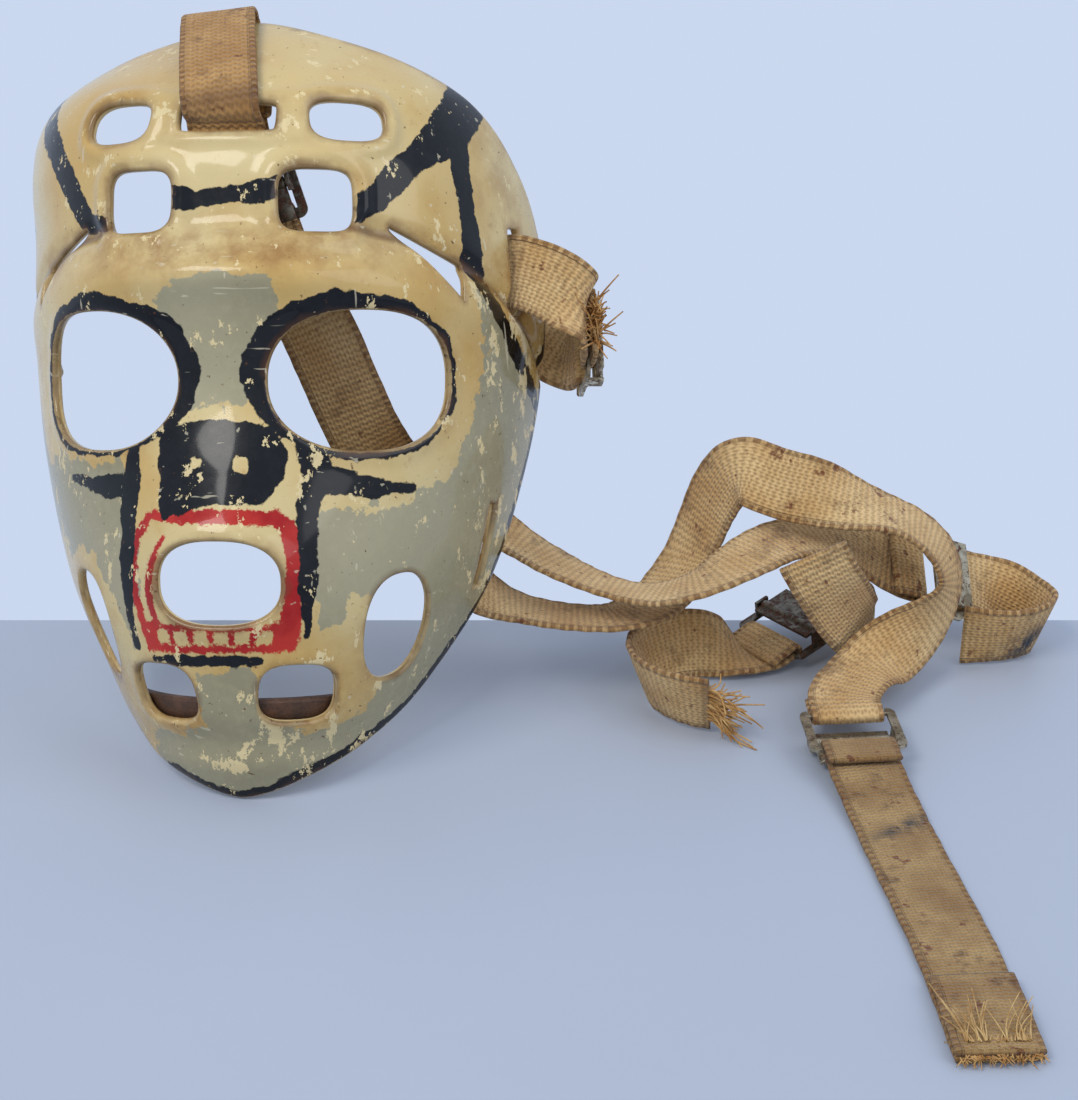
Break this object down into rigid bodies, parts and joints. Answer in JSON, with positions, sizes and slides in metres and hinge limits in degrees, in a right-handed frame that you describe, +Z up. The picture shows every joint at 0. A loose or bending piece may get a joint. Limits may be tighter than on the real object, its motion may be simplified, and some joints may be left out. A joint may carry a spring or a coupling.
{
  "type": "goalie mask with strap harness",
  "caption": "Moulded full-face goalkeeper mask with eye, mouth and vent holes and a webbing harness with toothed buckles.",
  "frame": {"origin": "centre of the space for the wearer's head inside the mask, level with the eye openings", "axes": "+Z up with the mask leaning back as it was put down, its chin edge and the loose straps on one level; the face looks towards -Y and a little towards -X; +X is to a viewer's right"},
  "size_m": [0.3697, 0.2789, 0.2348],
  "materials": {
    "shell": "aged gloss paint over moulded fibreglass",
    "pad": "dark worn leather",
    "webbing": "ribbed cotton webbing, soiled",
    "buckle_metal": "worn nickel plate with rust"
  },
  "bodies": {
    "mask": {"mask_shell": "shell", "chin_pad": "pad", "crown_strap": "webbing", "crown_tail_strap": "webbing", "jaw_strap": "webbing", "loose_strap": "webbing", "knot_strap": "webbing", "side_strap": "webbing", "temple_strap_right": "webbing", "temple_strap_left": "webbing", "fray_loose_end": "webbing", "fray_temple_end": "webbing", "buckle_frame_crown": "buckle_metal", "buckle_pin_crown": "buckle_metal", "buckle_frame_temple": "buckle_metal", "buckle_pin_temple": "buckle_metal", "buckle_frame_knot": "buckle_metal", "buckle_pin_knot": "buckle_metal", "buckle_frame_side": "buckle_metal", "buckle_pin_side": "buckle_metal"},
    "tail": {"buckle_frame_tail": "buckle_metal", "buckle_pin_tail": "buckle_metal", "tail_strap": "webbing", "tail_hem": "webbing"},
    "lever_crown": {"buckle_lever_crown": "buckle_metal"},
    "lever_temple": {"buckle_lever_temple": "buckle_metal"},
    "lever_tail": {"buckle_lever_tail": "buckle_metal"},
    "lever_knot": {"buckle_lever_knot": "buckle_metal"},
    "lever_side": {"buckle_lever_side": "buckle_metal"}
  },
  "joints": [
    {"name": "tail_swing", "type": "hinge", "parent": "mask", "child": "tail", "pos_m": [0.19619, -0.06242, -0.10642], "axis": [-0.9967, -0.0807, -0.0048], "range_deg": [0, 70]},
    {"name": "lever_crown_open", "type": "hinge", "parent": "mask", "child": "lever_crown", "pos_m": [-0.00242, -0.03811, 0.0692], "axis": [-0.9428, 0.0323, -0.3318], "range_deg": [0, 30]},
    {"name": "lever_temple_open", "type": "hinge", "parent": "mask", "child": "lever_temple", "pos_m": [0.11059, 0.00747, 0.00352], "axis": [-0.0385, 0.6432, 0.7648], "range_deg": [0, 105]},
    {"name": "lever_tail_open", "type": "hinge", "parent": "tail", "child": "lever_tail", "pos_m": [0.19694, -0.07139, -0.11168], "axis": [0.9967, 0.0807, 0.0048], "range_deg": [0, 105]},
    {"name": "lever_knot_open", "type": "hinge", "parent": "mask", "child": "lever_knot", "pos_m": [0.18331, 0.0036, -0.10239], "axis": [0.6421, -0.7659, -0.0333], "range_deg": [0, 105]},
    {"name": "lever_side_open", "type": "hinge", "parent": "mask", "child": "lever_side", "pos_m": [0.23943, 0.00581, -0.0839], "axis": [0.0155, -0.7686, -0.6395], "range_deg": [0, 85]}
  ]
}
